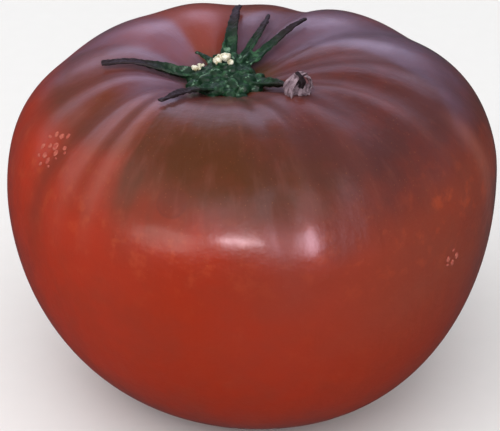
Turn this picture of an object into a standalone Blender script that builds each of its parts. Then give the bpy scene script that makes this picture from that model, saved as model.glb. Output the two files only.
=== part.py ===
# A ripe dark beefsteak tomato, whole, with its calyx and the stub of its stem.
# Metres, +Z up. It rests on a small flat spot on the plane z = 0, and its front is -Y.
import math

import bmesh
import bpy
from mathutils import Matrix, Vector
from mathutils.bvhtree import BVHTree

# Driving dimensions of the fruit
WIDTH = 0.0980              # greatest side to side size, along X
DEPTH = 0.0944              # greatest front to back size, along Y
DOME_HEIGHT = 0.0768        # height that the top would have without its stem cavity
GIRTH_HEIGHT = 0.0487       # height of the widest part, well above the middle
TOP_SQUARENESS = 2.42       # 2 is an ellipse, more is a fuller shoulder
BASE_SQUARENESS = 2.03
REST_RADIUS = 0.0100        # small flat spot that the fruit rests on
REST_SAG = 0.0006           # how much more of the round base the fruit's weight flattens
REST_SPREAD = math.radians(24.0)  # the rings this near the lower pole cover the rest spot
CAVITY_DEPTH = 0.0092       # stem cavity, a round dip in the top
CAVITY_RADIUS = 0.0160
CROWN_SHIFT = (-0.0048, 0.0004)   # the stem end sits off the middle, in X and Y
CROWN_SHIFT_REACH = 0.042         # distance from the middle where that shift has died out
BLOSSOM_SCAR_RADIUS = 0.0030      # shallow dimple where the flower was
BLOSSOM_SCAR_DEPTH = 0.0006

# Furrows between the lobes: compass bearing in degrees (0 is the front, 90 the right
# side), depth at the shoulder in metres, half width in degrees, and the height at which
# the furrow has run out.
FURROWS = (
    (9, 0.0012, 4.5, 0.040),
    (20, 0.0012, 5.0, 0.042),
    (45, 0.0013, 7.0, 0.044),
    (65, 0.0012, 5.5, 0.046),
    (92, 0.0010, 8.0, 0.044),
    (125, 0.0010, 8.0, 0.044),
    (160, 0.0024, 8.0, 0.036),
    (186, 0.0007, 7.0, 0.046),
    (214, 0.0007, 8.0, 0.044),
    (243, 0.0008, 8.0, 0.046),
    (273, 0.0012, 7.5, 0.044),
    (301, 0.0019, 6.0, 0.036),
    (312, 0.0010, 4.0, 0.046),
)
FURROW_SEAT_RADIUS = 0.0065       # the furrows fade out this near the stem

# Slow unevenness of the flesh: waves round the fruit, depth and phase in degrees
SWELLS = ((3, 0.0004, 140), (5, 0.0003, 80))

# Broad flats and rises of the shoulder: bearing, depth and half width in degrees
SHOULDERS = ((252, 0.0018, 36), (204, -0.0012, 26), (176, 0.0014, 17), (80, -0.0006, 30))

# Broad bulges below the girth: bearing, rise and half width in degrees
BULGES = ((38, 0.0014, 38), (270, 0.0004, 30))

FRUIT_SEGMENTS = 80         # faces round the fruit
FRUIT_RINGS = 46            # faces from pole to pole
CROWN_CROWDING = 1.3        # draws the upper rings in towards the stem cavity

# Driving dimensions of the calyx and stem
GAP = 0.0003                # clearance between calyx and fruit
BLADE_THICKNESS = 0.0007
SEPAL_ROOT = 0.0026         # how far from the stem's axis a sepal starts
RECEPTACLE_RADIUS = 0.0074
RECEPTACLE_HEIGHT = 0.0042
RECEPTACLE_SHIFT = (-0.0004, -0.0021)  # its middle lies a little in front of the stem
STUB_ROOT_RADIUS = 0.0041
STUB_END_RADIUS = 0.0024
STUB_HEIGHT = 0.0043
STUB_LEAN = (-0.0008, 0.0005)
STUB_SIDES = 14
STUB_RINGS = 6

# One row for each sepal: bearing, length, greatest half width, sideways bend in degrees
# at the tip, lift off the fruit at mid length, and how far its tip curls up in degrees.
SEPALS = (
    (274, 0.0218, 0.0026, -4, 0.0002, 20),
    (337, 0.0202, 0.0021, -10, 0.0001, 6),
    (51, 0.0215, 0.0023, -8, 0.0005, 165),
    (131, 0.0194, 0.0016, 3, 0.0010, 20),
    (151, 0.0198, 0.0017, 7, 0.0017, 20),
    (176, 0.0216, 0.0020, -2, 0.0022, 25),
    (212, 0.0068, 0.0016, 10, 0.0010, 40),
)
SEPAL_STEPS = 14            # faces along a sepal
SEPAL_STRIPS = 4            # faces across it
CURL_RADIUS = 0.0019
CHANNEL = 0.38              # how far the edges stand up, as a share of the half width
EDGE_WAVE = 0.00022         # ripple of the edges

FRUIT_COLOUR = (0.33, 0.035, 0.018, 1.0)
CALYX_COLOUR = (0.035, 0.085, 0.030, 1.0)


def clear_scene():
    for thing in list(bpy.data.objects):
        bpy.data.objects.remove(thing, do_unlink=True)


def new_collection(name):
    collection = bpy.data.collections.new(name)
    bpy.context.scene.collection.children.link(collection)
    return collection


def material(name, colour, roughness):
    made = bpy.data.materials.new(name)
    made.use_nodes = True
    shader = made.node_tree.nodes["Principled BSDF"]
    shader.inputs["Base Color"].default_value = colour
    shader.inputs["Roughness"].default_value = roughness
    shader.inputs["Metallic"].default_value = 0.0
    made.diffuse_color = colour
    return made


def object_of(form, name, collection):
    """The bmesh as a named object, with its normals facing out."""
    bmesh.ops.recalc_face_normals(form, faces=form.faces)
    mesh = bpy.data.meshes.new(name)
    form.to_mesh(mesh)
    form.free()
    made = bpy.data.objects.new(name, mesh)
    collection.objects.link(made)
    return made


def smooth_step(low, high, value):
    share = min(1.0, max(0.0, (value - low) / (high - low)))
    return share * share * (3.0 - 2.0 * share)


def turn_between(a, b):
    """The angle from b to a in degrees, between -180 and 180."""
    return (a - b + 180.0) % 360.0 - 180.0


def profile(latitude):
    """Distance from the axis, as a share of the half width, and height, at a latitude in radians."""
    if latitude < 0.0:
        spot = REST_RADIUS / (WIDTH / 2.0)
        out = max(0.0, math.cos(latitude)) ** (2.0 / BASE_SQUARENESS)
        down = math.sin(-latitude) ** (2.0 / BASE_SQUARENESS)
        spread = smooth_step(0.0, REST_SPREAD, math.pi / 2.0 + latitude)
        return spot * spread + (1.0 - spot) * out, GIRTH_HEIGHT - (GIRTH_HEIGHT + REST_SAG) * down
    quarter = math.pi / 2.0
    latitude = quarter - quarter * (1.0 - latitude / quarter) ** CROWN_CROWDING
    out = max(0.0, math.cos(latitude)) ** (2.0 / TOP_SQUARENESS)
    up = math.sin(latitude) ** (2.0 / TOP_SQUARENESS)
    return out, GIRTH_HEIGHT + (DOME_HEIGHT - GIRTH_HEIGHT) * up


def furrow_depth(bearing, out, height):
    """How far the furrows, flats and swells draw the skin in at this place."""
    depth = 0.0
    for middle, deepest, half_width, foot in FURROWS:
        across = turn_between(bearing, middle) / half_width
        depth += deepest * math.exp(-across * across) * smooth_step(foot, DOME_HEIGHT, height)
    for middle, deepest, half_width in SHOULDERS:
        across = turn_between(bearing, middle) / half_width
        depth += deepest * math.exp(-across * across) * smooth_step(0.9 * GIRTH_HEIGHT, DOME_HEIGHT, height)
    for middle, rise, half_width in BULGES:
        across = turn_between(bearing, middle) / half_width
        level = min(1.0, height / GIRTH_HEIGHT)
        depth -= rise * math.exp(-across * across) * 4.0 * level * (1.0 - level)
    for waves, size, phase in SWELLS:
        depth += size * math.cos(math.radians(waves * bearing + phase)) * smooth_step(0.0, GIRTH_HEIGHT, height)
    return depth * smooth_step(0.2 * FURROW_SEAT_RADIUS, 2.0 * FURROW_SEAT_RADIUS, out)


def skin_point(latitude, bearing):
    """The place on the fruit's skin at a latitude in radians and a bearing in degrees."""
    share, height = profile(latitude)
    x = share * WIDTH / 2.0 * math.sin(math.radians(bearing))
    y = -share * DEPTH / 2.0 * math.cos(math.radians(bearing))
    out = math.hypot(x, y)
    core = Vector((0.0, 0.0, GIRTH_HEIGHT))
    place = Vector((x, y, height))
    inward = (core - place).normalized()
    place += inward * furrow_depth(bearing, out, height)
    if latitude > 0.0:
        place.z -= CAVITY_DEPTH * math.exp(-((out / CAVITY_RADIUS) ** 2))
        lean = 1.0 - smooth_step(0.0, CROWN_SHIFT_REACH, out)
        place.x += CROWN_SHIFT[0] * lean
        place.y += CROWN_SHIFT[1] * lean
    place.z = max(0.0, place.z)
    if latitude < 0.0 and out < BLOSSOM_SCAR_RADIUS:
        place.z += BLOSSOM_SCAR_DEPTH
    return place


def build_fruit(collection):
    """A sphere's grid of faces laid onto the fruit's own shape."""
    form = bmesh.new()
    bmesh.ops.create_uvsphere(form, u_segments=FRUIT_SEGMENTS, v_segments=FRUIT_RINGS, radius=1.0)
    for vertex in form.verts:
        latitude = math.asin(max(-1.0, min(1.0, vertex.co.z)))
        bearing = math.degrees(math.atan2(vertex.co.x, -vertex.co.y))
        vertex.co = skin_point(latitude, bearing)
    fruit = object_of(form, "fruit", collection)
    fruit.data.materials.append(material("tomato_skin", FRUIT_COLOUR, 0.22))
    fruit.data.shade_smooth()
    return fruit


def seat_of(skin):
    """Where the stem's axis meets the floor of the cavity."""
    above = Vector((CROWN_SHIFT[0], CROWN_SHIFT[1], 2.0 * DOME_HEIGHT))
    return skin.ray_cast(above, Vector((0.0, 0.0, -1.0)))[0]


def height_over(skin, x, y):
    """The skin's height below a point in plan."""
    return skin.ray_cast(Vector((x, y, 2.0 * DOME_HEIGHT)), Vector((0.0, 0.0, -1.0)))[0].z


def sepal_half_width(share, widest):
    """A narrow blade: a short neck, its widest part near the root, and a long thin tip."""
    neck = 0.72 + 0.28 * smooth_step(0.0, 0.16, share)
    taper = 1.0 - 0.76 * share ** 0.8
    return widest * neck * taper


def sepal_line(share, length, lift, curl):
    """Distance out from the root and height over the skin, with the tip turned up on an arc."""
    sweep = math.radians(curl)
    flat_length = length - CURL_RADIUS * sweep
    arch = 4.0 * lift * share * (1.0 - share)
    gone = share * length
    if gone <= flat_length:
        return gone, arch
    angle = (gone - flat_length) / CURL_RADIUS
    return flat_length + CURL_RADIUS * math.sin(angle), arch + CURL_RADIUS * (1.0 - math.cos(angle))


def build_sepal(index, row, seat, skin, collection):
    """An open blade that follows the fruit's skin, channelled along its middle, then thickened."""
    bearing, length, widest, bend, lift, curl = row
    form = bmesh.new()
    bmesh.ops.create_grid(form, x_segments=SEPAL_STEPS, y_segments=SEPAL_STRIPS, size=1.0)
    for vertex in form.verts:
        share = (vertex.co.x + 1.0) / 2.0
        across = vertex.co.y
        out, over = sepal_line(share, length, lift, curl)
        heading = math.radians(bearing + bend * share * share)
        ahead = Vector((math.sin(heading), -math.cos(heading), 0.0))
        side = Vector((-ahead.y, ahead.x, 0.0))
        half = sepal_half_width(share, widest)
        ripple = EDGE_WAVE * abs(across) * math.sin(9.0 * share + 2.1 * index + 1.3 * across)
        place = seat + ahead * (SEPAL_ROOT + out) + side * across * half
        ground = height_over(skin, place.x, place.y)
        fold = CHANNEL * half * across * across * (1.0 - 0.85 * smooth_step(0.35, 0.95, share))
        rise = over + fold + ripple
        root_rise = 0.0011 * (1.0 - smooth_step(0.0, 0.30, share))
        place.z = ground + GAP + 0.55 * BLADE_THICKNESS + 0.0003 + max(0.0, rise) + root_rise
        vertex.co = place
    bmesh.ops.triangulate(form, faces=form.faces)
    sepal = object_of(form, f"sepal_{index}", collection)
    shell = sepal.modifiers.new("thickness", "SOLIDIFY")
    shell.thickness = BLADE_THICKNESS
    shell.offset = 0.0
    return sepal


def build_receptacle(seat, skin, collection):
    """The swollen green button that the sepals grow from, flat below and domed above."""
    form = bmesh.new()
    bmesh.ops.create_uvsphere(form, u_segments=20, v_segments=10, radius=1.0)
    for vertex in form.verts:
        bearing = math.degrees(math.atan2(vertex.co.x, -vertex.co.y))
        lobe = sum(math.exp(-((turn_between(bearing, row[0]) / 14.0) ** 2)) for row in SEPALS)
        reach = RECEPTACLE_RADIUS * (0.88 + 0.16 * lobe)
        place = Vector((
            seat.x + RECEPTACLE_SHIFT[0] + vertex.co.x * reach,
            seat.y + RECEPTACLE_SHIFT[1] + vertex.co.y * reach,
            0.0,
        ))
        floor = height_over(skin, place.x, place.y) + GAP + 0.0001
        place.z = floor
        if vertex.co.z > 0.01:
            domed = seat.z + GAP + 0.0007 + vertex.co.z * (RECEPTACLE_HEIGHT - 0.0007)
            place.z = max(domed, floor + 0.0030 * vertex.co.z)
        vertex.co = place
    bmesh.ops.remove_doubles(form, verts=form.verts, dist=0.00001)
    return object_of(form, "receptacle", collection)


def build_stub(seat, collection):
    """The snapped end of the stem: a leaning, tapering, ribbed stump with a dished end."""
    form = bmesh.new()
    bmesh.ops.create_cone(
        form,
        cap_ends=True,
        segments=STUB_SIDES,
        radius1=1.0,
        radius2=1.0,
        depth=1.0,
    )
    sides = [edge for edge in form.edges if abs(edge.verts[0].co.z - edge.verts[1].co.z) > 0.5]
    bmesh.ops.subdivide_edges(form, edges=sides, cuts=STUB_RINGS - 1)
    top = [face for face in form.faces if face.normal.z > 0.9]
    bmesh.ops.inset_region(form, faces=top, thickness=0.35)
    for vertex in form.verts:
        share = vertex.co.z + 0.5
        bearing = math.atan2(vertex.co.y, vertex.co.x)
        out = math.hypot(vertex.co.x, vertex.co.y)
        radius = STUB_ROOT_RADIUS + (STUB_END_RADIUS - STUB_ROOT_RADIUS) * smooth_step(0.0, 0.75, share)
        radius *= 1.0 + 0.05 * math.cos(5.0 * bearing + 0.6)
        dish = -0.0005 if out < 0.8 and share > 0.9 else 0.0
        ragged = 0.0003 * math.sin(3.0 * bearing + 1.1) * smooth_step(0.8, 1.0, share)
        vertex.co = Vector((
            seat.x + STUB_LEAN[0] * share * share + out * radius * math.cos(bearing),
            seat.y + STUB_LEAN[1] * share * share + out * radius * math.sin(bearing),
            seat.z + GAP + 0.0010 + STUB_HEIGHT * share + dish + ragged,
        ))
    return object_of(form, "stub", collection)


def build_calyx(fruit, collection):
    """The sepals and the stem's stub, joined to the receptacle that they grow from."""
    bpy.context.view_layer.update()
    skin = BVHTree.FromObject(fruit, bpy.context.evaluated_depsgraph_get())
    seat = seat_of(skin)
    growing = new_collection("calyx_growth")
    for index, row in enumerate(SEPALS):
        build_sepal(index, row, seat, skin, growing)
    build_stub(seat, growing)
    calyx = build_receptacle(seat, skin, collection)
    calyx.name = "calyx"
    calyx.data.name = "calyx"
    join = calyx.modifiers.new("growth", "BOOLEAN")
    join.operation = "UNION"
    join.operand_type = "COLLECTION"
    join.collection = growing
    join.solver = "EXACT"
    bpy.context.view_layer.update()
    joined = bpy.data.meshes.new_from_object(calyx.evaluated_get(bpy.context.evaluated_depsgraph_get()))
    calyx.modifiers.clear()
    calyx.data = joined
    for thing in list(growing.objects):
        bpy.data.objects.remove(thing, do_unlink=True)
    bpy.data.collections.remove(growing)
    calyx.data.materials.clear()
    calyx.data.materials.append(material("calyx_green", CALYX_COLOUR, 0.55))
    calyx.data.shade_smooth()
    calyx.data.set_sharp_from_angle(angle=math.radians(50.0))
    return calyx


def centre_on_origin(pieces, fruit):
    """Moves the pieces together so that the fruit's box stands over the origin."""
    places = [vertex.co for vertex in fruit.data.vertices]
    offset = Vector((
        -(min(place.x for place in places) + max(place.x for place in places)) / 2.0,
        -(min(place.y for place in places) + max(place.y for place in places)) / 2.0,
        -min(place.z for place in places),
    ))
    for piece in pieces:
        piece.data.transform(Matrix.Translation(offset))


def main():
    clear_scene()
    tomato = new_collection("tomato")
    fruit = build_fruit(tomato)
    calyx = build_calyx(fruit, tomato)
    centre_on_origin((fruit, calyx), fruit)


main()
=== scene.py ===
# A dark beefsteak tomato with its calyx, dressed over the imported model.
# Metres, +Z up. The side seen in the photograph faces -Y.
import math
import random
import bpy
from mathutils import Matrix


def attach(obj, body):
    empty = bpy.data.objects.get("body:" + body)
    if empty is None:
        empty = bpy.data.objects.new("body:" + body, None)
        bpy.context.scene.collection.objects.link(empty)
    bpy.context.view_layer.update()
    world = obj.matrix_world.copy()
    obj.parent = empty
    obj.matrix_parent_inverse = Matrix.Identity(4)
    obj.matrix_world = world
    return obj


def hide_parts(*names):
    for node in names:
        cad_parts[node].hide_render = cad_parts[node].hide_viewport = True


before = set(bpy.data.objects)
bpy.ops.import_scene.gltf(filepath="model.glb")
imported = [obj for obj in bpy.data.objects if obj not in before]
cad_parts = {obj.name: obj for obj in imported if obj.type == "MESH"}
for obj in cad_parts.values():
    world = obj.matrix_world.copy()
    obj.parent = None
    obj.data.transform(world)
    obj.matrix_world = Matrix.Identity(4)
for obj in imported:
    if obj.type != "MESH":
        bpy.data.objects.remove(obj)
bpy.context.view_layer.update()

from types import SimpleNamespace

import bpy
from mathutils import Matrix, Vector

print("frame loaded", sorted(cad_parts))


# Small helpers

mergeDistance = 0.00001
mmPerMetre = 1000.0


def deselectAll():
    if bpy.context.object and bpy.context.object.mode != "OBJECT":
        bpy.ops.object.mode_set(mode="OBJECT")
    bpy.ops.object.select_all(action="DESELECT")


def pick(thing):
    deselectAll()
    thing.select_set(True)
    bpy.context.view_layer.objects.active = thing


def applyAll(thing):
    pick(thing)
    for modifier in list(thing.modifiers):
        bpy.ops.object.modifier_apply(modifier=modifier.name)


def copyOfNode(nodeName, pieceName):
    # a merged copy of a CAD node, so its loose triangles share their corners
    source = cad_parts[nodeName]
    piece = bpy.data.objects.new(pieceName, source.data.copy())
    piece.data.name = pieceName
    bpy.context.scene.collection.objects.link(piece)
    piece.data.materials.clear()
    pick(piece)
    bpy.ops.object.mode_set(mode="EDIT")
    bpy.ops.mesh.select_all(action="SELECT")
    bpy.ops.mesh.customdata_custom_splitnormals_clear()
    bpy.ops.mesh.remove_doubles(threshold=mergeDistance)
    bpy.ops.object.mode_set(mode="OBJECT")
    return piece


def bearingPoint(bearing, reach, height=0.0):
    # bearing in degrees, 0 at the front (-Y) and 90 at the right (+X)
    turn = math.radians(bearing)
    return Vector((reach * math.sin(turn), -reach * math.cos(turn), height))


# Shader helpers

def newMaterial(name):
    material = bpy.data.materials.new(name)
    material.use_nodes = True
    tree = material.node_tree
    return material, tree, tree.nodes["Principled BSDF"]


def addNode(tree, kind, inputs=None, **settings):
    node = tree.nodes.new(kind)
    for key, value in settings.items():
        setattr(node, key, value)
    for key, value in (inputs or {}).items():
        if isinstance(value, bpy.types.NodeSocket):
            tree.links.new(value, node.inputs[key])
        else:
            node.inputs[key].default_value = value
    return node


def setInputs(node, values):
    for name, value in values.items():
        node.inputs[name].default_value = value


def maths(tree, operation, first, second=0.0):
    return addNode(tree, "ShaderNodeMath", {0: first, 1: second}, operation=operation).outputs[0]


def times(tree, value, *others):
    for other in others:
        value = maths(tree, "MULTIPLY", value, other)
    return value


def plus(tree, value, *others):
    for other in others:
        value = maths(tree, "ADD", value, other)
    return value


def larger(tree, first, second):
    return maths(tree, "MAXIMUM", first, second)


def wander(tree, value, amount):
    # an uneven value from 0 to 1, turned into a push of up to half the amount either way
    return times(tree, maths(tree, "SUBTRACT", value, 0.5), amount)


def vectorMaths(tree, operation, first, second=None, output="Value"):
    inputs = {0: first} if second is None else {0: first, 1: second}
    return addNode(tree, "ShaderNodeVectorMath", inputs, operation=operation).outputs[output]


def spread(tree, value, low, high, toLow=0.0, toHigh=1.0):
    # a smooth step from low to high
    return addNode(
        tree, "ShaderNodeMapRange",
        {"Value": value, "From Min": low, "From Max": high, "To Min": toLow, "To Max": toHigh},
        interpolation_type="SMOOTHSTEP",
    ).outputs["Result"]


def mixColour(tree, share, first, second):
    return addNode(tree, "ShaderNodeMix", {0: share, 6: first, 7: second}, data_type="RGBA").outputs[2]


def objectPlace(tree):
    return addNode(tree, "ShaderNodeTexCoord").outputs["Object"]


def heightOf(tree, place):
    return addNode(tree, "ShaderNodeSeparateXYZ", {0: place}).outputs["Z"]


def painted(tree, name):
    # a value that was painted on the corners of the mesh
    return addNode(tree, "ShaderNodeAttribute", attribute_name=name).outputs["Fac"]


def noise(tree, vector, scale, detail=3.0, roughness=0.5):
    return addNode(
        tree, "ShaderNodeTexNoise",
        {"Vector": vector, "Scale": scale, "Detail": detail, "Roughness": roughness},
    ).outputs["Fac"]


def bump(tree, height, strength, distance, normal=None):
    inputs = {"Height": height, "Strength": strength, "Distance": distance}
    if normal is not None:
        inputs["Normal"] = normal
    return addNode(tree, "ShaderNodeBump", inputs).outputs["Normal"]


def towards(tree, outward, bearing):
    # 1 where the skin's bearing from the stem is this one, -1 on the far side
    return vectorMaths(tree, "DOT_PRODUCT", outward, bearingPoint(bearing, 1.0))


blotchGrain = (4.0, 0.58)
blotchEdges = (0.35, 0.65)


def makeBlotchGroup():
    # uneven patches for all of the tomato's finishes: a soft mask, its size and edges set at each use
    group = bpy.data.node_groups.new("unevenPatches", "ShaderNodeTree")
    group.interface.new_socket(name="Vector", in_out="INPUT", socket_type="NodeSocketVector")
    for name in ("Scale", "Low", "High"):
        group.interface.new_socket(name=name, in_out="INPUT", socket_type="NodeSocketFloat")
    group.interface.new_socket(name="Mask", in_out="OUTPUT", socket_type="NodeSocketFloat")
    entry = group.nodes.new("NodeGroupInput")
    leave = group.nodes.new("NodeGroupOutput")
    broad = noise(group, entry.outputs["Vector"], entry.outputs["Scale"], *blotchGrain)
    mask = spread(group, broad, entry.outputs["Low"], entry.outputs["High"])
    group.links.new(mask, leave.inputs["Mask"])
    return group


blotchGroup = makeBlotchGroup()


def blotches(tree, vector, scale, low=blotchEdges[0], high=blotchEdges[1]):
    node = tree.nodes.new("ShaderNodeGroup")
    node.node_tree = blotchGroup
    tree.links.new(vector, node.inputs["Vector"])
    setInputs(node, {"Scale": scale, "Low": low, "High": high})
    return node.outputs["Mask"]


# The skin: red below, olive brown to mauve on the shoulders, and a painted lilac sheen on the waxy skin far
# round

skinLook = {
    "crownCentre": (-0.0048, 0.0007, 0.0676),
    "belly": (0.285, 0.0180, 0.0022, 1.0),
    "bellyDeep": (0.220, 0.0250, 0.0100, 1.0),
    # painted light: a brighter red for the side the light falls on
    "paintedSunRed": (0.350, 0.0230, 0.0050, 1.0),
    "sideBrown": (0.200, 0.0400, 0.0220, 1.0),
    "olive": (0.080, 0.0220, 0.0055, 1.0),
    "mauve": (0.078, 0.0200, 0.0170, 1.0),
    "wall": (0.240, 0.0450, 0.0300, 1.0),
    # ridge: paler pink on the ribs, partly painted sheen
    "ridge": (0.300, 0.1000, 0.0720, 1.0),
    # groove: darker in the furrows, partly painted shade
    "groove": (0.066, 0.0150, 0.0060, 1.0),
    "stemEnd": (0.080, 0.0450, 0.0150, 1.0),
    "fleck": (0.400, 0.1500, 0.0500, 1.0),
    "scar": (0.230, 0.120, 0.055, 1.0),
    "freckle": (0.460, 0.0700, 0.0200, 1.0),
    # crease: the tongue's dark skin colour, also used for the painted crease shade along its edge
    "crease": (0.075, 0.0140, 0.0050, 1.0),
    # painted sheen: a lilac that stands in for reflected light on the far shoulders
    "paintedSheen": (0.145, 0.108, 0.178, 1.0),
    # bearings of the dark front, the right side, the wall, and the patch and far rim that get the painted
    # lilac sheen
    "frontBearing": 10,
    "rightBearing": 85,
    "wallBearing": 211,
    "patchBearing": 306,
    "rimBearing": 196,
    # darker patches round the highlights: colour, middle, where they end and are full, share
    "patches": (
        ("bellyDeep", (0.0055, -0.0465, 0.0525), 0.0130, 0.0040, 0.60),
        ("mauve", (0.0160, -0.0423, 0.0592), 0.0065, 0.0020, 0.26),
    ),
    "creaseCentre": (-0.0143, -0.0389, 0.0644),
    "creaseRadius": 0.0027,
    # how much of a colour an effect gives where it is full
    "deepShare": 0.36,
    "deepToneShare": 0.13,
    "grooveShare": 0.42,
    "ribShare": 0.34,
    # how much of the dark shoulder the wall takes away
    "wallClearing": 0.9,
    # how far the edge of the dark shoulder is pushed up or down, in metres
    "frontRaise": 0.0025,
    "rayRaise": 0.008,
    "cloudRaise": 0.010,
    # how ragged the other edges are
    "duskRagged": 0.5,
    "waxRagged": 0.55,
    "scarRagged": 0.0012,
    # how fast the streaks change on their way out, and how many flecks there are in a metre
    "rayDrift": 9.0,
    "fleckScale": 900.0,
    # how much duller the furrows and the stem end are
    "grooveDullness": 0.25,
    "stemDullness": 0.2,
    "shader": {
        "IOR": 1.36,
        "Specular IOR Level": 0.38,
        "Coat Roughness": 0.17,
        "Coat IOR": 1.42,
        "Subsurface Weight": 0.08,
        "Subsurface Radius": (1.0, 0.25, 0.12),
        "Subsurface Scale": 0.003,
    },
}

# scale, detail and roughness of each noise
skinNoise = {
    "rays": (5.2, 3.0, 0.55),
    "fineRays": (17.0, 3.0, 0.6),
    "cloudy": (45.0, 3.0, 0.55),
    "waxMottle": (110.0, 3.0, 0.6),
    "lumps": (75.0, 2.0, 0.5),
    "dimples": (240.0, 3.0, 0.6),
    "pores": (1500.0, 2.0, 0.5),
}

# scale, and where the patches start and are full
skinBlotches = {
    "deep": (130.0, 0.38, 0.70),
    "deepTone": (150.0, 0.42, 0.66),
    "freckles": (330.0, 0.50, 0.72),
    "waxEdge": (75.0, 0.30, 0.70),
    "scarEdge": (700.0, 0.35, 0.65),
}

# the relief, from the largest forms to the smallest: which noise, strength and distance
skinRelief = (
    ("lumps", 0.5, 0.0006),
    ("dimples", 0.55, 0.00030),
    ("fineRays", 0.25, 0.0003),
    ("pores", 0.25, 0.00004),
)

# where each effect starts and is full, and what it gives there if that isn't 0 and 1; "Height" is over
# the floor and "Reach" out from the stem, in metres, and "Side" is 1 at a bearing and -1 opposite it
skinSpans = {
    "frontSide": (0.90, 1.0),
    "shoulderHeight": (0.0560, 0.0680),
    "faintDusk": (0.10, 0.50, 0.08, 0.42),
    "fullDusk": (0.55, 0.95, 0.0, 0.58),
    "duskReach": (0.041, 0.032, 0.0, 0.85),
    "wallSide": (0.72, 0.97),
    "wallReach": (0.034, 0.024),
    # the left side, which gets the painted light
    "paintedSunSide": (0.0, -0.8),
    "footHeight": (0.026, 0.002, 0.0, 0.45),
    # the right side, which gets the painted shade
    "paintedShadeSide": (0.25, 1.0, 0.0, 0.75),
    "brownSide": (0.20, 0.95, 0.0, 0.85),
    "brownHeight": (0.026, 0.046),
    "freckleHeight": (0.044, 0.058, 0.06, 0.34),
    "mauveSide": (0.55, 1.35),
    "mauveReach": (0.026, 0.012, 0.0, 0.8),
    "fineRibs": (0.50, 0.80, 0.0, 0.12),
    "fineRibHeight": (0.050, 0.066),
    "stemReach": (0.0120, 0.0065, 0.0, 0.6),
    "creaseShadeLine": (0.00050, 0.00010, 0.0, 0.32),
    "creaseHeight": (0.0648, 0.0630),
    "creaseTongue": (0.0031, 0.0025, 0.0, 0.24),
    "raggedPaintedSheen": (0.75, 1.60, 0.0, 0.56),
    "paintedSheenWax": (0.95, 1.25),
    "paintedSheenHeight": (0.062, 0.070),
    "paintedSheenClouds": (0.30, 0.60, 0.5, 1.0),
    "patchSide": (0.80, 0.98, 0.0, 0.42),
    "patchInnerReach": (0.0070, 0.0100),
    "patchOuterReach": (0.0270, 0.0170),
    "rimSide": (0.55, 0.85, 0.0, 0.42),
    "rimReach": (0.0290, 0.0370),
    "rimHeight": (0.0560, 0.0640),
    "fleckSize": (0.15, 0.05),
    "fleckHeight": (0.040, 0.066, 0.04, 0.16),
    "scarSize": (0.0036, 0.0026),
    "roughness": (0.3, 0.7, 0.29, 0.38),
    "waxMottle": (0.35, 0.65, 0.28, 0.62),
    "waxInGroove": (0.08, 0.5, 1.0, 0.10),
}


def grade(tree, value, name):
    return spread(tree, value, *skinSpans[name])


def skinPatch(tree, place, name):
    return blotches(tree, place, *skinBlotches[name])


def layOver(tree, colour, rows):
    # colours laid over one another: how much of each, and its name
    for share, name in rows:
        colour = mixColour(tree, share, colour, skinLook[name])
    return colour


def fromCrownCentre(tree, place):
    centre = Vector(skinLook["crownCentre"])
    return addNode(tree, "ShaderNodeMapping", {"Vector": place, "Location": -centre}).outputs["Vector"]


def skinFields(tree):
    # what the effects go by: places, directions from the stem, noises and painted values
    place = objectPlace(tree)
    flat = vectorMaths(tree, "MULTIPLY", fromCrownCentre(tree, place), (1.0, 1.0, 0.0), "Vector")
    out = vectorMaths(tree, "LENGTH", flat)
    outward = vectorMaths(tree, "NORMALIZE", flat, output="Vector")

    # streaks that run out from the stem, seamless because they follow the unit direction
    parts = addNode(tree, "ShaderNodeSeparateXYZ", {0: outward}).outputs
    rayPlace = addNode(
        tree, "ShaderNodeCombineXYZ",
        {"X": parts["X"], "Y": parts["Y"], "Z": times(tree, out, skinLook["rayDrift"])},
    ).outputs["Vector"]
    return SimpleNamespace(
        place=place,
        height=heightOf(tree, place),
        out=out,
        outward=outward,
        right=towards(tree, outward, skinLook["rightBearing"]),
        rays=noise(tree, rayPlace, *skinNoise["rays"]),
        fineRays=noise(tree, rayPlace, *skinNoise["fineRays"]),
        cloudy=noise(tree, place, *skinNoise["cloudy"]),
        groove=painted(tree, "groove"),
        rib=painted(tree, "rib"),
        dusk=painted(tree, "dusk"),
        wax=painted(tree, "wax"),
    )


def duskShare(tree, field, wall):
    # how low the dark shoulder colour reaches, and which side of the fruit it covers
    look = skinLook
    front = grade(tree, towards(tree, field.outward, look["frontBearing"]), "frontSide")
    raised = plus(
        tree, field.height, times(tree, front, look["frontRaise"]),
        wander(tree, field.rays, look["rayRaise"]), wander(tree, field.cloudy, look["cloudRaise"]),
    )
    ragged = plus(tree, field.dusk, wander(tree, field.cloudy, look["duskRagged"]))
    sector = plus(tree, grade(tree, field.dusk, "faintDusk"), grade(tree, ragged, "fullDusk"))
    sector = larger(tree, sector, grade(tree, field.out, "duskReach"))
    offWall = maths(tree, "SUBTRACT", 1.0, times(tree, wall, look["wallClearing"]))
    return times(tree, grade(tree, raised, "shoulderHeight"), sector, offWall)


def warmColour(tree, field, wall):
    # the reds of the belly, browner to the right, with painted light making the left side a brighter red
    # and painted shade making the right side darker
    brown = times(tree, grade(tree, field.right, "brownSide"), grade(tree, field.height, "brownHeight"))
    deep = times(tree, skinPatch(tree, field.place, "deep"), skinLook["deepShare"])
    freckles = times(
        tree, skinPatch(tree, field.place, "freckles"), grade(tree, field.height, "freckleHeight"),
    )
    return layOver(tree, skinLook["belly"], (
        (grade(tree, field.right, "paintedSunSide"), "paintedSunRed"),
        (grade(tree, field.height, "footHeight"), "bellyDeep"),
        (grade(tree, field.right, "paintedShadeSide"), "bellyDeep"),
        (brown, "sideBrown"),
        (deep, "bellyDeep"),
        (freckles, "freckle"),
        (wall, "wall"),
    ))


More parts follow.
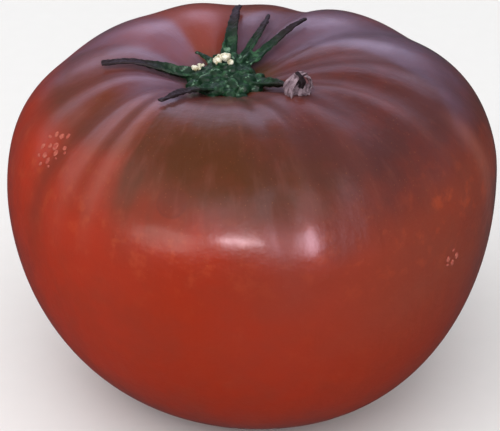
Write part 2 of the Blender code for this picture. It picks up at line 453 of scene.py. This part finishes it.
def duskColour(tree, field):
    mauve = grade(tree, plus(tree, field.right, field.cloudy), "mauveSide")
    mauve = larger(tree, mauve, grade(tree, field.out, "mauveReach"))
    deep = times(tree, skinPatch(tree, field.place, "deepTone"), skinLook["deepToneShare"])
    return layOver(tree, skinLook["olive"], ((mauve, "mauve"), (deep, "bellyDeep")))


def creaseShare(tree, field):
    # a small dark tongue of skin colour, low on the front of the shoulder, with a thin line of painted
    # crease shade along its lower edge
    away = vectorMaths(tree, "DISTANCE", field.place, Vector(skinLook["creaseCentre"]))
    edge = maths(tree, "ABSOLUTE", maths(tree, "SUBTRACT", away, skinLook["creaseRadius"]))
    edge = times(tree, grade(tree, edge, "creaseShadeLine"), grade(tree, field.height, "creaseHeight"))
    return larger(tree, edge, grade(tree, away, "creaseTongue"))


def paintedSheenShare(tree, field):
    # painted sheen: a pale lilac colour that stands in for the sky's reflection on the waxy far shoulders,
    # with a painted highlight in a patch left of the stem and a painted reflection along the far rim
    ragged = plus(
        tree, field.wax, wander(tree, skinPatch(tree, field.place, "waxEdge"), skinLook["waxRagged"]),
    )
    shoulders = times(
        tree, grade(tree, ragged, "raggedPaintedSheen"), grade(tree, field.wax, "paintedSheenWax"),
        grade(tree, field.height, "paintedSheenHeight"), grade(tree, field.cloudy, "paintedSheenClouds"),
    )
    patch = times(
        tree, grade(tree, towards(tree, field.outward, skinLook["patchBearing"]), "patchSide"),
        grade(tree, field.out, "patchInnerReach"), grade(tree, field.out, "patchOuterReach"),
    )
    rim = times(
        tree, grade(tree, towards(tree, field.outward, skinLook["rimBearing"]), "rimSide"),
        grade(tree, field.out, "rimReach"), grade(tree, field.height, "rimHeight"),
    )
    return larger(tree, larger(tree, shoulders, patch), rim)


def fleckShare(tree, field):
    # small pale flecks under the skin
    cells = addNode(
        tree, "ShaderNodeTexVoronoi",
        {"Vector": field.place, "Scale": skinLook["fleckScale"], "Randomness": 1.0},
    )
    size = grade(tree, cells.outputs["Distance"], "fleckSize")
    return times(tree, size, grade(tree, field.height, "fleckHeight"))


def scarShare(tree, field):
    # the corky scar of the blossom, underneath
    ragged = wander(tree, skinPatch(tree, field.place, "scarEdge"), skinLook["scarRagged"])
    return grade(tree, plus(tree, vectorMaths(tree, "LENGTH", field.place), ragged), "scarSize")


def makeSkinMaterial():
    look = skinLook
    material, tree, shader = newMaterial("tomatoSkin")
    field = skinFields(tree)
    wall = times(
        tree, grade(tree, towards(tree, field.outward, look["wallBearing"]), "wallSide"),
        grade(tree, field.out, "wallReach"),
    )
    skin = mixColour(
        tree, duskShare(tree, field, wall), warmColour(tree, field, wall), duskColour(tree, field),
    )
    for colour, middle, end, full, share in look["patches"]:
        away = vectorMaths(tree, "DISTANCE", field.place, Vector(middle))
        skin = mixColour(tree, spread(tree, away, end, full, 0.0, share), skin, look[colour])

    # the furrows are darker and the ribs between them paler, near the crown: partly the skin's own tone,
    # partly painted shade in the furrows and painted sheen on the ribs
    fineRibs = times(
        tree, grade(tree, field.fineRays, "fineRibs"), grade(tree, field.height, "fineRibHeight"),
    )
    nearStem = grade(tree, field.out, "stemReach")
    scar = scarShare(tree, field)
    skin = layOver(tree, skin, (
        (times(tree, field.groove, look["grooveShare"]), "groove"),
        (fineRibs, "ridge"),
        (times(tree, field.rib, look["ribShare"]), "ridge"),
        (nearStem, "stemEnd"),
        # the dark tongue and its painted crease shade
        (creaseShare(tree, field), "crease"),
        # the painted lilac sheen over the base colour
        (paintedSheenShare(tree, field), "paintedSheen"),
        (fleckShare(tree, field), "fleck"),
        (scar, "scar"),
    ))
    tree.links.new(skin, shader.inputs["Base Color"])

    rough = plus(
        tree, grade(tree, field.cloudy, "roughness"),
        times(tree, larger(tree, field.groove, scar), look["grooveDullness"]),
        times(tree, nearStem, look["stemDullness"]),
    )
    tree.links.new(rough, shader.inputs["Roughness"])
    relief = None
    for name, strength, distance in skinRelief:
        form = field.fineRays if name == "fineRays" else noise(tree, field.place, *skinNoise[name])
        relief = bump(tree, form, strength, distance, relief)
    tree.links.new(relief, shader.inputs["Normal"])
    mottle = grade(tree, noise(tree, field.place, *skinNoise["waxMottle"]), "waxMottle")
    coat = times(tree, field.wax, mottle, grade(tree, field.groove, "waxInGroove"))
    tree.links.new(coat, shader.inputs["Coat Weight"])
    setInputs(shader, look["shader"])
    return material


# The calyx: dark green with pale, hairy patches, painted highlights (pale glints) near its middle, and
# drier tips

calyxLook = {
    "green": (0.004, 0.026, 0.010, 1.0),
    "paleGreen": (0.040, 0.130, 0.056, 1.0),
    # painted highlights: the colour of the glints
    "glint": (0.150, 0.270, 0.180, 1.0),
    "dryTip": (0.018, 0.011, 0.013, 1.0),
    # scale, and where the patches start and are full
    "patches": (520.0, 0.48, 0.72),
    "glints": (650.0, 0.57, 0.67),
    # how far from the stem's seat the glints start and are full, and the dry tips
    "glintReach": (0.0120, 0.0080),
    "tipReach": (0.010, 0.019),
    "tipRagged": 0.004,
    "fibres": (1800.0, 3.0, 0.6),
    "roughness": (0.3, 0.7, 0.38, 0.60),
    # strength and distance
    "patchRelief": (0.5, 0.0003),
    "fibreRelief": (0.5, 0.00008),
    "shader": {"IOR": 1.38, "Specular IOR Level": 0.35},
}


def makeCalyxMaterial():
    look = calyxLook
    material, tree, shader = newMaterial("calyxGreen")
    place = objectPlace(tree)
    out = vectorMaths(tree, "LENGTH", fromCrownCentre(tree, place))
    patch = blotches(tree, place, *look["patches"])
    fibres = noise(tree, place, *look["fibres"])
    green = mixColour(tree, patch, look["green"], look["paleGreen"])
    # painted highlights: pale glints painted into the base colour near the middle
    glint = times(tree, blotches(tree, place, *look["glints"]), spread(tree, out, *look["glintReach"]))
    green = mixColour(tree, glint, green, look["glint"])
    tips = spread(tree, plus(tree, out, times(tree, patch, look["tipRagged"])), *look["tipReach"])
    green = mixColour(tree, tips, green, look["dryTip"])
    tree.links.new(green, shader.inputs["Base Color"])
    tree.links.new(spread(tree, fibres, *look["roughness"]), shader.inputs["Roughness"])
    relief = bump(tree, fibres, *look["fibreRelief"], bump(tree, patch, *look["patchRelief"]))
    tree.links.new(relief, shader.inputs["Normal"])
    setInputs(shader, look["shader"])
    return material


# Cork, dry pith and shrivelled tips: two tones in uneven patches, with a rough relief

dryLook = {
    # dark tone, pale tone and scale of the patches
    "paleCork": ((0.33, 0.040, 0.022, 1.0), (0.45, 0.105, 0.064, 1.0), 1500.0),
    "dryPith": ((0.42, 0.36, 0.20, 1.0), (0.90, 0.88, 0.74, 1.0), 1100.0),
    "shrivelledTip": ((0.150, 0.095, 0.115, 1.0), (0.32, 0.23, 0.265, 1.0), 900.0),
    "fineTimes": 4.0,
    "fineGrain": (3.0, 0.6),
    "roughness": (0.3, 0.7, 0.55, 0.80),
    # strength and distance
    "patchRelief": (0.5, 0.0002),
    "fineRelief": (0.5, 0.00008),
}


def makeDryMaterial(name):
    look = dryLook
    dark, pale, scale = look[name]
    material, tree, shader = newMaterial(name)
    place = objectPlace(tree)
    patch = blotches(tree, place, scale)
    tree.links.new(mixColour(tree, patch, dark, pale), shader.inputs["Base Color"])
    fine = noise(tree, place, scale * look["fineTimes"], *look["fineGrain"])
    tree.links.new(spread(tree, fine, *look["roughness"]), shader.inputs["Roughness"])
    relief = bump(tree, fine, *look["fineRelief"], bump(tree, patch, *look["patchRelief"]))
    tree.links.new(relief, shader.inputs["Normal"])
    return material


# Fruit

fruitShape = {
    # the largest angles, in degrees, for two triangles to be joined, and how much the flow counts
    "quadFace": 60.0,
    "quadShape": 100.0,
    "quadFlow": 2.0,
    "subdivisions": 2,
    # where the furrows have swung back to the middle, and how often that is worked out anew
    "crownShiftReach": 0.042,
    "crownShiftRounds": 3,
    # bearing and half width in degrees, strength, and the heights where it has run out below and above
    "grooves": (
        (7.8, 2.8, 1.0, 0.050, 0.068), (20, 4.0, 0.5, 0.048, 0.080), (45, 6.0, 0.4, 0.052, 0.080),
        (67, 4.0, 0.4, 0.052, 0.080), (92, 8.0, 0.4, 0.052, 0.080), (125, 8.0, 0.4, 0.052, 0.080),
        (160, 8.0, 1.0, 0.046, 0.080), (186, 7.0, 0.5, 0.052, 0.080), (214, 8.0, 0.4, 0.050, 0.080),
        (243, 8.0, 0.5, 0.050, 0.080), (273, 7.5, 0.6, 0.048, 0.080), (300.2, 3.6, 1.0, 0.038, 0.080),
        (313.5, 2.6, 0.9, 0.056, 0.080),
    ),
    "ribs": (
        (-41.3, 2.2, 1.0, 0.050, 0.080), (-50.5, 3.0, 0.7, 0.048, 0.080), (14, 3.0, 0.12, 0.050, 0.080),
        (32, 4.0, 0.25, 0.056, 0.080), (60, 3.5, 0.40, 0.058, 0.080), (72.5, 3.0, 1.0, 0.036, 0.069),
    ),
    # how far the dark shoulder colour covers each side, and how waxy the skin is there; where it is waxiest
    # the skin also gets the painted lilac sheen
    "dusk": (
        (-180.0, 0.5), (-108.0, 0.5), (-92.0, 0.0), (-66.0, 0.0), (-60.0, 0.5), (-41.0, 0.5),
        (-35.0, 1.0), (122.0, 1.0), (138.0, 0.5), (180.0, 0.5),
    ),
    "wax": (
        (-180.0, 1.0), (-145.0, 1.0), (-132.0, 1.5), (-106.0, 1.5), (-86.0, 1.0), (10.0, 1.0),
        (20.0, 0.75), (28.0, 0.18), (76.0, 0.18), (101.0, 1.5), (156.0, 1.5), (166.0, 1.0), (180.0, 1.0),
    ),
    # over what height the furrows and ribs fade in at the foot and out at the top
    "footFade": 0.016,
    "browFade": 0.004,
    # on the right the edges of the wax slant: degrees per metre, the bearing where that starts, and how
    # far from the stem the bearings hold as given
    "waxSwirl": 1500.0,
    "swirlStart": 50.0,
    "swirlReach": 0.030,
}


def bearingOf(place):
    # the stem end sits off the middle, and the furrows swing back to the middle further out
    centre = skinLook["crownCentre"]
    share = 1.0
    for step in range(fruitShape["crownShiftRounds"]):
        away = math.hypot(place[0] - centre[0] * share, place[1] - centre[1] * share)
        reach = min(1.0, away / fruitShape["crownShiftReach"])
        share = 1.0 - reach * reach * (3.0 - 2.0 * reach)
    return math.degrees(math.atan2(place[0] - centre[0] * share, centre[1] * share - place[1]))


def paintLines(piece, name, rows):
    # one value for each corner of the mesh: 1 along a furrow or rib, fading to its sides and foot
    layer = piece.data.attributes.new(name, "FLOAT", "POINT")
    values = []
    for vertex in piece.data.vertices:
        bearing = bearingOf(vertex.co)
        strongest = 0.0
        for middle, halfWidth, strength, foot, brow in rows:
            across = ((bearing - middle + 180.0) % 360.0 - 180.0) / halfWidth
            rising = max(0.0, (vertex.co.z - foot) / fruitShape["footFade"])
            ending = max(0.0, (brow - vertex.co.z) / fruitShape["browFade"])
            along = min(1.0, rising, ending)
            strongest = max(strongest, strength * along * math.exp(-across * across))
        values.append(strongest)
    layer.data.foreach_set("value", values)


def paintSides(piece, name, steps, swirl=0.0):
    # one value for each bearing round the stem, running evenly from each step to the next
    centre = skinLook["crownCentre"]
    start = fruitShape["swirlStart"]
    layer = piece.data.attributes.new(name, "FLOAT", "POINT")
    values = []
    for vertex in piece.data.vertices:
        bearing = bearingOf(vertex.co)
        if bearing > start:
            out = math.hypot(vertex.co.x - centre[0], vertex.co.y - centre[1])
            bearing = max(start, bearing + swirl * (out - fruitShape["swirlReach"]))
        value = steps[-1][1]
        for (low, lowValue), (high, highValue) in zip(steps, steps[1:]):
            if low <= bearing <= high:
                value = lowValue + (highValue - lowValue) * (bearing - low) / (high - low)
                break
        values.append(value)
    layer.data.foreach_set("value", values)


def makeFruit(material):
    piece = copyOfNode("fruit", "tomatoFlesh")
    bpy.ops.object.mode_set(mode="EDIT")
    bpy.ops.mesh.select_all(action="SELECT")
    bpy.ops.mesh.tris_convert_to_quads(
        face_threshold=math.radians(fruitShape["quadFace"]),
        shape_threshold=math.radians(fruitShape["quadShape"]),
        topology_influence=fruitShape["quadFlow"],
    )
    bpy.ops.object.mode_set(mode="OBJECT")
    finer = piece.modifiers.new("finer", "SUBSURF")
    finer.levels = finer.render_levels = fruitShape["subdivisions"]
    applyAll(piece)
    bpy.ops.object.shade_smooth()
    paintLines(piece, "groove", fruitShape["grooves"])
    paintLines(piece, "rib", fruitShape["ribs"])
    paintSides(piece, "dusk", fruitShape["dusk"])
    paintSides(piece, "wax", fruitShape["wax"], fruitShape["waxSwirl"])
    piece.data.materials.append(material)
    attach(piece, "root")
    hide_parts("fruit")
    print("fruit", len(piece.data.polygons), "faces")
    return piece


# Calyx

calyxShape = {
    "voxel": 0.00018,
    "lumpSize": 0.0014,
    "lumpDepth": 0.0005,
    "lumpMiddle": 0.70,
    "relaxFactor": 0.5,
    "relaxRounds": 3,
    # the swollen, knobbly roots of the sepals
    "middle": (-0.0049, -0.0023, 0.0718),
    "knobSeed": 7,
    "knobCount": 32,
    "knobReach": 0.0075,
    "knobDrop": 0.0027,
    "knobTurn": 137.5,
    "knobSmallest": 0.00090,
    "knobLargest": 0.00150,
    "knobStretch": 1.5,
}

ellipsoidDetail = 3


def addEllipsoid(place, along, halfLength, halfWidth, halfHeight):
    bpy.ops.mesh.primitive_ico_sphere_add(subdivisions=ellipsoidDetail, radius=1.0, location=place)
    made = bpy.context.object
    made.scale = (halfWidth, halfLength, halfHeight)
    made.rotation_euler = (0.0, 0.0, math.radians(180.0 + along))
    return made


def joinPieces(target, others):
    deselectAll()
    for thing in others:
        thing.select_set(True)
    target.select_set(True)
    bpy.context.view_layer.objects.active = target
    bpy.ops.object.join()
    bpy.ops.object.transform_apply(location=True, rotation=True, scale=True)
    return target


def addLumps(piece, name, size, strength, depth=1, middle=0.5):
    texture = bpy.data.textures.new(name, "CLOUDS")
    texture.noise_scale = size
    texture.noise_depth = depth
    lumps = piece.modifiers.new(name, "DISPLACE")
    lumps.texture = texture
    lumps.texture_coords = "LOCAL"
    lumps.strength = strength
    lumps.mid_level = middle


def makeCalyx(material):
    piece = copyOfNode("calyx", "calyxStar")
    middle = Vector(calyxShape["middle"])
    chance = random.Random(calyxShape["knobSeed"])
    knobs = []
    for index in range(calyxShape["knobCount"]):
        deselectAll()
        share = math.sqrt((index + 0.5) / calyxShape["knobCount"])
        bearing = index * calyxShape["knobTurn"]
        drop = calyxShape["knobDrop"] * share * share
        place = middle + bearingPoint(bearing, share * calyxShape["knobReach"], -drop)
        size = chance.uniform(calyxShape["knobSmallest"], calyxShape["knobLargest"])
        stretch = chance.uniform(1.0, calyxShape["knobStretch"])
        knobs.append(addEllipsoid(place, bearing, size * stretch, size, size))
    joinPieces(piece, knobs)
    remesh = piece.modifiers.new("remesh", "REMESH")
    remesh.mode = "VOXEL"
    remesh.voxel_size = calyxShape["voxel"]
    relax = piece.modifiers.new("relax", "CORRECTIVE_SMOOTH")
    relax.factor = calyxShape["relaxFactor"]
    relax.iterations = calyxShape["relaxRounds"]
    relax.use_only_smooth = True
    addLumps(
        piece, "calyxLumps", calyxShape["lumpSize"], calyxShape["lumpDepth"],
        middle=calyxShape["lumpMiddle"],
    )
    applyAll(piece)
    bpy.ops.object.shade_smooth()
    piece.data.materials.clear()
    piece.data.materials.append(material)
    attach(piece, "root")
    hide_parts("calyx")
    print("calyx", len(piece.data.polygons), "faces")


# The pale broken end of the stem: chunky lumps of pith and splinters round them

stemShape = {
    "top": (-0.0056, 0.0007, 0.0731),
    "ragSize": 0.0005,
    "ragDepth": 0.0009,
    # sideways, back and up from the top in mm, then half sizes in mm and turn in degrees
    "chunks": (
        (-1.0, -0.5, 0.1, 1.1, 0.8, 0.7, 20), (0.7, 0.3, 0.5, 1.0, 0.8, 0.8, -35),
        (-0.2, 0.9, 0.2, 0.9, 0.7, 0.6, 60), (1.5, -0.6, -0.2, 0.6, 0.5, 0.5, 10),
        (-5.2, -0.3, -1.6, 1.0, 0.6, 0.4, 75), (-4.2, 0.3, -1.3, 0.6, 0.5, 0.35, 40),
    ),
}


def makeStemBreak(material):
    top = Vector(stemShape["top"])
    chunks = []
    for right, back, up, halfX, halfY, halfZ, turn in stemShape["chunks"]:
        deselectAll()
        place = top + Vector((right, back, up)) / mmPerMetre
        chunks.append(addEllipsoid(place, turn, halfX / mmPerMetre, halfY / mmPerMetre, halfZ / mmPerMetre))
    piece = joinPieces(chunks[0], chunks[1:])
    piece.name = piece.data.name = "stemPith"
    addLumps(piece, "pithRags", stemShape["ragSize"], stemShape["ragDepth"], depth=2)
    applyAll(piece)
    bpy.ops.object.shade_smooth()
    piece.data.materials.append(material)
    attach(piece, "root")
    print("stem end", len(piece.data.polygons), "faces")


# The shrivelled tip of the right sepal: a crumpled strip, bent round into a curl

curlShape = {
    "middle": (0.0088, -0.0129, 0.0737),
    "length": 0.0070,
    "width": 0.0026,
    "thickness": 0.00022,
    "cutsAlong": 48,
    "cutsAcross": 12,
    "foldSize": 0.0012,
    "foldDepth": 0.0009,
    "crinkleSize": 0.0006,
    "crinkleDepth": 0.0005,
    "bend": 430.0,
    "turn": (0.0, 0.0, 48.0),
}


def makeDriedCurl(material):
    deselectAll()
    bpy.ops.mesh.primitive_grid_add(
        x_subdivisions=curlShape["cutsAlong"], y_subdivisions=curlShape["cutsAcross"], size=1.0,
    )
    piece = bpy.context.object
    piece.name = piece.data.name = "driedCurl"
    piece.scale = (curlShape["length"], curlShape["width"], 1.0)
    bpy.ops.object.transform_apply(location=False, rotation=False, scale=True)
    addLumps(piece, "curlFolds", curlShape["foldSize"], curlShape["foldDepth"])
    bend = piece.modifiers.new("bend", "SIMPLE_DEFORM")
    bend.deform_method = "BEND"
    bend.deform_axis = "Y"
    bend.angle = math.radians(curlShape["bend"])
    addLumps(piece, "curlCrinkles", curlShape["crinkleSize"], curlShape["crinkleDepth"])
    shell = piece.modifiers.new("shell", "SOLIDIFY")
    shell.thickness = curlShape["thickness"]
    finer = piece.modifiers.new("finer", "SUBSURF")
    finer.levels = finer.render_levels = 1
    applyAll(piece)
    # its middle goes to the end of the sepal
    sides = list(zip(*(vertex.co for vertex in piece.data.vertices)))
    middle = Vector([(min(side) + max(side)) / 2.0 for side in sides])
    piece.data.transform(Matrix.Translation(-middle))
    piece.rotation_euler = [math.radians(angle) for angle in curlShape["turn"]]
    piece.location = curlShape["middle"]
    bpy.ops.object.transform_apply(location=True, rotation=True, scale=True)
    bpy.ops.object.shade_smooth()
    piece.data.materials.append(material)
    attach(piece, "root")
    print("dried curl", len(piece.data.polygons), "faces")


# Corky marks on the skin: two small clusters of raised spots

markShape = {
    # bearing, height over the floor and radius, in degrees and mm
    "leftMark": (
        (-67.5, 65.2, 0.55), (-66.2, 65.9, 0.45), (-64.2, 66.0, 0.60), (-62.6, 66.4, 0.40),
        (-60.2, 65.0, 0.55), (-58.8, 64.6, 0.35), (-63.4, 64.5, 0.65), (-65.2, 64.2, 0.45),
        (-67.2, 63.6, 0.50), (-61.8, 63.8, 0.50), (-60.4, 63.2, 0.40), (-64.6, 62.7, 0.60),
        (-66.4, 62.2, 0.40), (-62.6, 62.3, 0.50), (-64.2, 61.2, 0.40), (-61.2, 61.6, 0.40),
    ),
    "rightMark": (
        (50.6, 46.9, 0.55), (52.8, 48.0, 0.45), (54.0, 46.4, 0.55), (52.2, 45.6, 0.50),
        (50.2, 45.8, 0.40),
    ),
    "spotDetail": 2,
    # how flat a spot is, how much its length varies and how fast that changes with its bearing
    "flatness": 0.17,
    "stretch": 0.4,
    "stretchTurn": 7.0,
    "crustSize": 0.0005,
    "crustDepth": 0.00030,
}


def makeMark(name, fruit, material):
    spots = []
    for bearing, height, radius in markShape[name]:
        start = Vector((0.0, 0.0, height / mmPerMetre))
        place, normal = fruit.ray_cast(start, bearingPoint(bearing, 1.0))[1:3]
        deselectAll()
        bpy.ops.mesh.primitive_ico_sphere_add(
            subdivisions=markShape["spotDetail"], radius=radius / mmPerMetre, location=place,
        )
        spot = bpy.context.object
        spot.rotation_euler = normal.to_track_quat("Z", "Y").to_euler()
        stretch = markShape["stretch"] * math.sin(markShape["stretchTurn"] * bearing)
        spot.scale = (1.0, 1.0 + stretch, markShape["flatness"])
        spots.append(spot)
    piece = joinPieces(spots[0], spots[1:])
    piece.name = piece.data.name = name
    addLumps(piece, name + "Crust", markShape["crustSize"], markShape["crustDepth"])
    applyAll(piece)
    bpy.ops.object.shade_smooth()
    piece.data.materials.append(material)
    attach(piece, "root")
    print(name, len(piece.data.polygons), "faces")


# Floor, light and camera

studio = {
    "floorSize": 8.0,
    "floorColour": (0.80, 0.80, 0.80, 1.0),
    "floorPaler": 1.03,
    "floorGrain": 220.0,
    "floorShader": {"Roughness": 0.8, "Specular IOR Level": 0.1},
    "aim": (-0.0003, 0.0, 0.0383),
    "distance": 0.400,
    "elevation": 31.0,
    "lens": 142.0,
    "filmWidth": 36.0,
    "nearest": 0.01,
    "airForCamera": 0.90,
    "airForShade": 0.76,
    "airForGloss": (0.06, 0.055, 0.06, 1.0),
}

# name, bearing, elevation, distance, width, height, brightness (W per m2 per sr), colour, outline
# and what it lights
softLights = (
    ("overhead", -25.0, 62.0, 0.90, 0.90, 0.90, 2.0, (1.0, 0.99, 0.98), "RECTANGLE", "shade"),
    ("frontFill", 4.0, 28.0, 1.00, 1.10, 0.70, 0.90, (1.0, 0.98, 0.97), "RECTANGLE", "shade"),
    ("frontWindow", -6.0, 19.0, 0.80, 0.38, 0.10, 26.0, (1.0, 0.77, 0.86), "ELLIPSE", "gloss"),
    ("sideWindow", 21.2, 18.4, 0.80, 0.16, 0.42, 14.2, (1.0, 0.74, 0.92), "ELLIPSE", "gloss"),
    ("leftBand", -38.0, 11.0, 0.90, 0.44, 0.36, 3.6, (1.0, 0.84, 0.80), "ELLIPSE", "gloss"),
)

# what the gloss sees of the room: bearing, elevation, where the glow starts and is full,
# where it starts and is full going up, where it is full and has run out further up, colour
glows = (
    (-100.0, 32.0, 0.40, 0.95, 0.04, 0.42, 0.76, 0.95, (1.10, 0.78, 0.84)),
    (95.0, 42.0, 0.45, 1.00, 0.04, 0.42, 2.00, 3.00, (0.32, 0.28, 0.40)),
    (186.0, 34.0, 0.70, 0.94, 0.16, 0.49, 0.66, 0.80, (1.55, 1.42, 2.05)),
    (-12.0, 40.0, 0.88, 0.985, 0.04, 0.20, 2.00, 3.00, (1.70, 1.50, 1.80)),
    (31.0, 52.0, 0.92, 0.99, 0.04, 0.20, 2.00, 3.00, (2.20, 1.95, 2.50)),
)


def addSoftLight(
    name, bearing, elevation, distance, width, height, brightness, colour, outline, lights,
):
    lift = math.radians(elevation)
    aim = Vector(studio["aim"])
    spot = aim + bearingPoint(bearing, distance * math.cos(lift), distance * math.sin(lift))
    bpy.ops.object.light_add(type="AREA", location=spot)
    light = bpy.context.object
    light.name = name
    light.data.shape = outline
    light.data.size = width
    light.data.size_y = height
    light.data.energy = brightness * width * height * math.pi
    light.data.color = colour
    light.rotation_euler = (aim - spot).to_track_quat("-Z", "Y").to_euler()
    light.visible_camera = False
    light.visible_glossy = lights == "gloss"
    light.visible_diffuse = lights == "shade"


def makeAir():
    # the camera and the shading see a plain pale room, and the gloss sees a dim one with soft glows
    world = bpy.data.worlds.new("studioAir")
    bpy.context.scene.world = world
    world.use_nodes = True
    world.cycles.sampling_method = "NONE"
    tree = world.node_tree
    backdrop = tree.nodes["Background"]
    direction = addNode(tree, "ShaderNodeTexCoord").outputs["Generated"]
    gloss = studio["airForGloss"]
    upward = heightOf(tree, direction)
    for bearing, elevation, low, high, foot, body, brow, top, colour in glows:
        lift = math.radians(elevation)
        way = bearingPoint(bearing, math.cos(lift), math.sin(lift))
        facing = vectorMaths(tree, "DOT_PRODUCT", direction, way)
        band = times(tree, spread(tree, upward, foot, body), spread(tree, upward, top, brow))
        share = times(tree, spread(tree, facing, low, high), band)
        gloss = mixColour(tree, share, gloss, colour + (1.0,))
    path = addNode(tree, "ShaderNodeLightPath")
    shade = (studio["airForShade"],) * 3 + (1.0,)
    seen = (studio["airForCamera"],) * 3 + (1.0,)
    air = mixColour(tree, path.outputs["Is Glossy Ray"], shade, gloss)
    air = mixColour(tree, path.outputs["Is Camera Ray"], air, seen)
    tree.links.new(air, backdrop.inputs["Color"])
    backdrop.inputs["Strength"].default_value = 1.0


def makeStudio():
    deselectAll()
    bpy.ops.mesh.primitive_plane_add(size=studio["floorSize"], location=(0.0, 0.0, 0.0))
    floor = bpy.context.object
    floor.name = "floor"
    material, tree, shader = newMaterial("paleFloor")
    grain = noise(tree, objectPlace(tree), studio["floorGrain"])
    paler = tuple(min(1.0, value * studio["floorPaler"]) for value in studio["floorColour"][:3]) + (1.0,)
    tree.links.new(mixColour(tree, grain, studio["floorColour"], paler), shader.inputs["Base Color"])
    setInputs(shader, studio["floorShader"])
    floor.data.materials.append(material)
    floor.visible_glossy = False
    makeAir()
    for row in softLights:
        addSoftLight(*row)

    lift = math.radians(studio["elevation"])
    aim = Vector(studio["aim"])
    away = Vector((0.0, -math.cos(lift), math.sin(lift)))
    bpy.ops.object.camera_add(location=aim + away * studio["distance"])
    camera = bpy.context.object
    camera.name = "camera"
    camera.rotation_euler = (math.pi / 2.0 - lift, 0.0, 0.0)
    camera.data.lens = studio["lens"]
    camera.data.sensor_width = studio["filmWidth"]
    camera.data.clip_start = studio["nearest"]
    bpy.context.scene.camera = camera
    bpy.context.scene.view_settings.view_transform = "Standard"
    print("studio ready")


skinMaterial = makeSkinMaterial()
corkMaterial = makeDryMaterial("paleCork")
pithMaterial = makeDryMaterial("dryPith")
curlMaterial = makeDryMaterial("shrivelledTip")
fruit = makeFruit(skinMaterial)
makeCalyx(makeCalyxMaterial())
makeStemBreak(pithMaterial)
makeDriedCurl(curlMaterial)
makeMark("leftMark", fruit, corkMaterial)
makeMark("rightMark", fruit, corkMaterial)
makeStudio()
